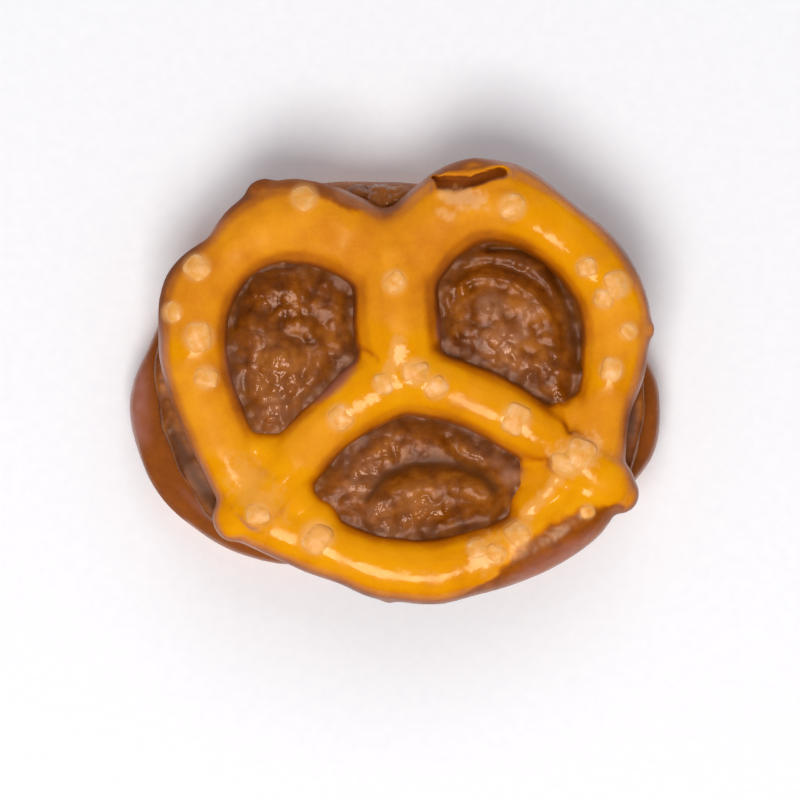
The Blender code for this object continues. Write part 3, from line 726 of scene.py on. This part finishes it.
LOWER_STRANDS = {
    "left_loop": [
        (-0.6, 8.4, 3.1, 0.2), (-4.6, 11.0, 3.0, 0), (-8.8, 11.9, 3.0, 0), (-13.5, 10.3, 3.0, 0),
        (-17.4, 6.8, 2.9, 0), (-18.6, 1.6, 2.9, 0), (-16.3, -4.2, 2.8, 0), (-14.4, -8.2, 2.7, 0),
        (-11.8, -10.8, 2.7, 0),
    ],
    "rim": [
        (-12.6, -10.8, 2.7, 0), (-8.6, -12.5, 2.6, 0.3), (-4.0, -13.5, 2.6, 0.5),
        (0.8, -13.4, 2.6, 0.5), (5.4, -12.8, 2.6, 0.4), (9.8, -11.4, 2.6, 0.2),
        (13.4, -8.4, 2.6, 0), (15.6, -4.8, 2.6, 0),
    ],
    "right_loop": [
        (15.6, -4.8, 2.6, 0), (17.1, -1.6, 2.7, 0), (18.5, 2.2, 2.9, 0), (17.1, 6.3, 2.9, 0),
        (13.9, 9.3, 2.8, 0), (10.0, 11.4, 2.9, 0), (6.0, 12.0, 3.0, 0.1), (2.2, 10.2, 3.0, 0.2),
        (0.2, 8.0, 3.1, 0.2),
    ],
    "twist": [
        (-0.2, 9.2, 3.5, 0.1), (-0.2, 5.4, 3.3, 0.4), (0, 1.8, 3.3, 0.3), (0.2, -0.6, 3.0, 0.3),
    ],
    "left_end": [
        (0.2, -0.6, 3.0, 0.3), (-4.4, -2.4, 2.6, 0.4), (-8.6, -5.2, 2.6, 0.2),
        (-12.2, -8.8, 2.5, 0.4), (-13.4, -10.6, 2.3, 0.6),
    ],
    "right_end": [
        (0.2, -0.6, 3.0, 0.3), (4.6, -2.2, 2.6, 0.4), (9.2, -4.4, 2.6, 0.2),
        (13.0, -7.0, 2.5, 0.5), (15.4, -9.4, 2.2, 0.6),
    ],
}

lower_ring = [(x, -y) for x, y in ring_of(LOWER_STRANDS)]
filling = fuse(
    [
        slab(FILLING_OUTLINE, LOWER_FLAT - LOWER_OVERLAP, UPPER_FLAT + UPPER_OVERLAP),
        slab(ring_of(UPPER_STRANDS), UPPER_FLAT, FILLING_LEVELS[1]),
        slab(lower_ring, FILLING_LEVELS[0], LOWER_FLAT),
        *[bump(*place) for place in WELLED],
    ],
    "filling_paste", FILLING_VOXEL, FILLING_SOFTENING,
)

# Grain of the paste, its painted pink sheen, and its fine unevenness
spots = spots_of(filling)
outward = facing(filling)
grainy = PLAIN_GRAIN * (1 - SIDE_SMOOTHNESS * fade(spots[:, 2], 8.8, 7.8))
painted_sheen = np.zeros(len(spots))
for x, y, radius, grain, sheen_amount in GRAINY:
    near = fade(np.hypot(spots[:, 0] - x, spots[:, 1] - y) / radius, 1.35, 0.35)
    grainy = np.maximum(grainy, near * grain)
    painted_sheen = np.maximum(painted_sheen, near * sheen_amount)
painted_sheen *= 0.8 + uneven(spots, 0.7, 23) * 0.7
fine = uneven(spots, 1.1, 7) * 0.20 + uneven(spots, 0.6, 13) * 0.14
rough = uneven(spots, 3.2, 0) * 0.30 + fine * grainy
spots += outward * rough[:, None]

# Lumps, folds and grooves in the upper holes, and the dip where the paste meets the crust
top_side = fade(spots[:, 2], 9.2, 10.4)
relief = lump_height(spots, LUMPS)
for line, half_width, height in FOLDS:
    gap, _ = from_line(spots, line)
    relief += height * np.exp(-((gap / half_width) ** 2))
margin = np.maximum(from_crust(spots, UPPER_STRANDS), 0)
moat = np.exp(-((margin / MOAT_WIDTH) ** 2)) * MOAT_DEPTH * (1 + uneven(spots, 1.4, 27) * 0.7)
gully_shade = np.zeros(len(spots))
for line, half_widths, depth in GULLIES:
    gap, along = from_line(spots, line)
    reach = np.interp(along, range(len(line)), half_widths)
    deep = np.exp(-((gap / reach) ** 2))
    relief -= deep * depth
    gully_shade = np.maximum(gully_shade, deep)
spots[:, 2] += top_side * (relief - moat)

# The same lumps, lower, on the side that faces down
under_side = fade(spots[:, 2], 3.4, 2.2)
mirrored = spots * np.array((1, -1, 1))
spots[:, 2] -= under_side * lump_height(mirrored, LUMPS) * 0.7

# Painted shade at the crust and in the grooves, and painted light on the crests
shade = fade(margin + uneven(spots, 0.8, 17) * 0.4, 1.4, 0.0) * top_side * 0.45
shade = np.maximum(shade, gully_shade * fade(spots[:, 2], 6.0, 7.4) * 0.85)
# Painted light: higher lumps and folds are lighter in the colour, and a little at random
crests = fade(uneven(spots, 1.1, 7) + relief * 0.9, -0.3, 0.9)
store(filling, "painted_shade", shade)
store(filling, "crest_light", crests)
store(filling, "grainy", grainy * (1 - shade))
store(filling, "painted_sheen", painted_sheen)
spots += np.array((UPPER_PLACE[0], UPPER_PLACE[1], 0))
reshape(filling, spots)
filling.data.shade_smooth()

# Chocolate paste: cocoa, sugar and fat, matt to satin where smooth, with sugar grains and fat that
# catch the light in small sparks.
chocolate = bpy.data.materials.new("chocolate_paste")
chocolate.use_nodes = True
tree = chocolate.node_tree
shader = tree.nodes["Principled BSDF"]
place = add(tree, "ShaderNodeTexCoord").outputs["Object"]
blotch = add(
    tree, "ShaderNodeTexNoise", {"Vector": place}, Scale=per_mm(2.4), Detail=5.0, Roughness=0.65
)
chocolate_colours = add(tree, "ShaderNodeValToRGB", {"Fac": blotch.outputs["Fac"]})
colour_steps(
    chocolate_colours, [(0.28, "#642e02"), (0.46, "#824202"), (0.70, "#a65e10")]
)
painted_shade_of = add(tree, "ShaderNodeAttribute", settings={"attribute_name": "painted_shade"}).outputs["Fac"]
crest_light_of = add(tree, "ShaderNodeAttribute", settings={"attribute_name": "crest_light"}).outputs["Fac"]
# Painted light on the crests of the paste
crest_lit = add(
    tree, "ShaderNodeMath", {0: crest_light_of, 2: blotch.outputs["Fac"]}, {"operation": "MULTIPLY_ADD"}
)
crest_lit.inputs[1].default_value = 0.16
# Clots of sugar and cocoa: round, with painted shade between them, and glinting on their crowns
clots = add(
    tree, "ShaderNodeTexVoronoi", {"Vector": place}, {"feature": "SMOOTH_F1"}, Scale=per_mm(0.75)
)
clot_shade_and_light = add(
    tree, "ShaderNodeMath", {0: clots.outputs["Distance"], 2: crest_lit.outputs[0]},
    {"operation": "MULTIPLY_ADD"},
)
clot_shade_and_light.inputs[1].default_value = -0.22
tree.links.new(clot_shade_and_light.outputs[0], chocolate_colours.inputs["Fac"])
painted_sheen_of = add(tree, "ShaderNodeAttribute", settings={"attribute_name": "painted_sheen"}).outputs["Fac"]
# Painted sheen: a pinkish-tan reflection on lumps and walls is mixed into the colour
sheened_paste = add(
    tree, "ShaderNodeMix", {"Factor": painted_sheen_of, 6: chocolate_colours.outputs["Color"]},
    {"data_type": "RGBA"},
)
sheened_paste.inputs[7].default_value = linear("#bb8462")
# Painted shade: the paste is darkened where it meets the crust and in the grooves
shaded_paste = add(
    tree, "ShaderNodeMix", {"Factor": painted_shade_of, 6: sheened_paste.outputs[2]}, {"data_type": "RGBA"}
)
shaded_paste.inputs[7].default_value = linear("#552a03")
tree.links.new(shaded_paste.outputs[2], shader.inputs["Base Color"])
grains = add(
    tree, "ShaderNodeTexNoise", {"Vector": place}, Scale=per_mm(0.5), Detail=2.0, Roughness=0.5
)
grainy_of = add(tree, "ShaderNodeAttribute", settings={"attribute_name": "grainy"}).outputs["Fac"]
rounded_clots = add(
    tree, "ShaderNodeMath", {0: clots.outputs["Distance"], 1: clots.outputs["Distance"]},
    {"operation": "MULTIPLY"},
)
clot_height = add(
    tree, "ShaderNodeMath", {0: rounded_clots.outputs[0], 1: grainy_of}, {"operation": "MULTIPLY"}
)
grain_height = add(
    tree, "ShaderNodeMath", {0: grains.outputs["Fac"], 1: grainy_of}, {"operation": "MULTIPLY"}
)
clot_bump = add(
    tree, "ShaderNodeBump", {"Height": clot_height.outputs[0]}, {"invert": True},
    Strength=1.0, Distance=0.62 * MM,
)
grain_bump = add(
    tree, "ShaderNodeBump", {"Height": grain_height.outputs[0], "Normal": clot_bump.outputs["Normal"]},
    Strength=1.0, Distance=0.12 * MM,
)
tree.links.new(grain_bump.outputs["Normal"], shader.inputs["Normal"])
shine = add(
    tree, "ShaderNodeMapRange", {"Value": grainy_of}, From_Min=0.0, From_Max=1.0, To_Min=0.52,
    To_Max=0.12,
)
tree.links.new(shine.outputs["Result"], shader.inputs["Roughness"])
shader.inputs["IOR"].default_value = 1.46
shader.inputs["Specular IOR Level"].default_value = 0.62
shader.inputs["Specular Tint"].default_value = linear("#ffd6c2")

filling.data.materials.clear()
filling.data.materials.append(chocolate)
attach(filling, "root")
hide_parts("filling")

# Lower pretzel crust. It is a pretzel of the same kind and bake, turned over, so that its salted
# side lies on the table and its flat side carries the filling.
LOWER_PLACE = (0.17, 0.112, 3.1)
LOWER_SEED = 11.0
SALT_PROUD = 0.04  # how far the salt stands out below the crust's crests
LOWER_CREASES = [
    ([(-11.6, -6.4), (-10.6, -7.4)], 0.32, 0.35), ([(12.6, -4.8), (13.0, -6.0)], 0.32, 0.35),
    ([(-3.4, 2.6), (-2.2, 1.0)], 0.45, 0.35), ([(3.2, 2.8), (2.4, 1.2)], 0.45, 0.30),
]
LOWER_TOASTED = [
    ([(-18.4, 8.0), (-20.2, 3.0), (-19.8, -2.0)], [1.4, 2.0, 1.4], 0.60),
    ([(19.8, 6.0), (20.2, 1.6), (18.8, -3.4)], [1.2, 1.8, 1.0], 0.56),
    ([(-6.0, 14.2), (0.0, 12.6), (6.0, 14.6)], [0.6, 0.9, 0.6], 0.4),
]
LOWER_DULL = [(-17.0, 8.8, 2.8), (18.6, 3.0, 2.5)]
# Painted mauve reflection of the room on the lower crust's outer rims: points, half widths and strength
LOWER_MAUVE_REFLECTIONS = [
    ([(-20.4, -5.0), (-21.4, -0.8), (-21.4, 3.2), (-20.4, 6.4)], [0.4, 1.0, 1.1, 0.6], 0.85),
    ([(-18.2, 8.0), (-15.6, 10.6), (-12.8, 12.4)], [0.2, 0.3, 0.2], 0.5),
]
LOWER_SALT = [
    (-17.6, 6.4, 0.9), (-18.2, 0.2, 1.0), (-12.0, 11.0, 0.9), (-4.6, 10.8, 0.8), (0.2, 4.6, 1.0),
    (-6.2, -3.7, 0.9), (-10.4, -11.8, 0.9), (1.6, -13.2, 1.0), (8.4, -12.1, 0.8),
    (6.6, -3.2, 0.9), (18.0, 3.8, 1.0), (13.6, 9.4, 0.8), (7.6, 11.6, 0.9), (16.2, -3.6, 0.8),
]

lower_crust = pretzel("crust_bottom", LOWER_STRANDS, [], LOWER_SEED)
crease(lower_crust, LOWER_CREASES)
swell_round(lower_crust, LOWER_SALT)
spots = spots_of(lower_crust)
spots[:, 2] = flattened(spots[:, 2])
reshape(lower_crust, spots)
toast_and_shade = browned_and_shaded(lower_crust, LOWER_TOASTED, 61)
toast_and_shade = np.maximum(toast_and_shade, fade(spots[:, 2], 0.4, -0.8) * FLAT_BROWN)
store(lower_crust, "toast_and_shade", toast_and_shade)
store(lower_crust, "pale", haloes(spots, LOWER_SALT) * fade(spots[:, 2], 0.3, 1.0))
store(lower_crust, "dull", dulled(spots, LOWER_DULL, 82))
store(lower_crust, "mauve_reflection_and_tint", reflected_and_tinted(spots, LOWER_MAUVE_REFLECTIONS, 87))
# Turned over into its place, with its crests pressed level
spots = spots * np.array((1, -1, -1)) + np.array(LOWER_PLACE)
spots[:, 2] = np.maximum(spots[:, 2], SALT_PROUD)
reshape(lower_crust, spots)
lower_crust.data.shade_smooth()
lower_crust.data.materials.clear()
lower_crust.data.materials.append(glazed_crust)
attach(lower_crust, "root")
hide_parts("bottom_pretzel")

# Salt on the lower pretzel. The same coarse crystals, pressed level with the crests on which the
# sandwich stands.
lower_places = [(x, -y, half) for x, y, half in LOWER_SALT]
lower_salt = strew(
    lower_crust, "salt_bottom", placed(lower_places, LOWER_PLACE), seed=8, from_above=False
)
spots = spots_of(lower_salt)
spots[:, 2] = np.maximum(spots[:, 2], 0)
reshape(lower_salt, spots)
lower_salt.data.materials.clear()
lower_salt.data.materials.append(glazed_salt)
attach(lower_salt, "root")
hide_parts("bottom_pretzel")

# Floor: a plain matt white board, much larger than the sandwich.
bpy.ops.mesh.primitive_plane_add(size=2.0, location=(0, 0, 0))
floor = bpy.context.object
floor.name = "floor"
white_board = bpy.data.materials.new("matt_white_board")
white_board.use_nodes = True
tree = white_board.node_tree
shader = tree.nodes["Principled BSDF"]
place = add(tree, "ShaderNodeTexCoord").outputs["Object"]
fibre = add(
    tree, "ShaderNodeTexNoise", {"Vector": place}, Scale=per_mm(1.0), Detail=2.0, Roughness=0.5
)
board_colours = add(tree, "ShaderNodeValToRGB", {"Fac": fibre.outputs["Fac"]})
colour_steps(board_colours, [(0.3, "#fbfbfc"), (0.7, "#fefefe")])
tree.links.new(board_colours.outputs["Color"], shader.inputs["Base Color"])
shader.inputs["Roughness"].default_value = 0.9
shader.inputs["Specular IOR Level"].default_value = 0.1
floor.data.materials.append(white_board)

# Light: one softbox high above and a little towards the eater, and an even pale room.
softbox = bpy.data.lights.new("softbox", "AREA")
softbox.shape = "RECTANGLE"
softbox.size = 0.20
softbox.size_y = 0.23
softbox.energy = 1.40
softbox_object = bpy.data.objects.new("softbox", softbox)
softbox_object.location = (-0.03, -0.17, 0.42)
aim = Vector((0, 0, 0.01)) - softbox_object.location
softbox_object.rotation_euler = aim.to_track_quat("-Z", "Y").to_euler()
softbox_object.visible_camera = False
bpy.context.scene.collection.objects.link(softbox_object)
# A wide panel behind lifts the shadows. It is turned away from view, so no gloss shows it.
panel = bpy.data.lights.new("panel", "AREA")
panel.shape = "SQUARE"
panel.size = 0.5
panel.energy = 0.9
panel_object = bpy.data.objects.new("panel", panel)
panel_object.location = (0.12, 0.40, 0.55)
aim = Vector((0, 0, 0.01)) - panel_object.location
panel_object.rotation_euler = aim.to_track_quat("-Z", "Y").to_euler()
panel_object.visible_camera = False
panel_object.visible_glossy = False
bpy.context.scene.collection.objects.link(panel_object)
room = bpy.data.worlds.new("pale_room")
room.use_nodes = True
room.node_tree.nodes["Background"].inputs["Color"].default_value = linear("#f4f0fa")
room.node_tree.nodes["Background"].inputs["Strength"].default_value = 0.32
room.cycles_visibility.glossy = False
bpy.context.scene.world = room
bpy.context.scene.view_settings.view_transform = "Standard"

# Camera: straight down from above, with a long lens.
LENS = 400.0
SENSOR = 36.0
FRAME_WIDTH = 64.0  # what the picture spans at the crust's height
CREST_HEIGHT = 10.0
AIMED_AT = (0.41, -1.49)  # middle of the picture
camera = bpy.data.cameras.new("camera")
camera.lens = LENS
camera.sensor_width = SENSOR
camera.clip_start = 0.01
camera.clip_end = 10.0
camera_object = bpy.data.objects.new("camera", camera)
distance = FRAME_WIDTH * LENS / SENSOR
camera_object.location = Vector((*AIMED_AT, CREST_HEIGHT + distance)) * MM
bpy.context.scene.collection.objects.link(camera_object)
bpy.context.scene.camera = camera_object
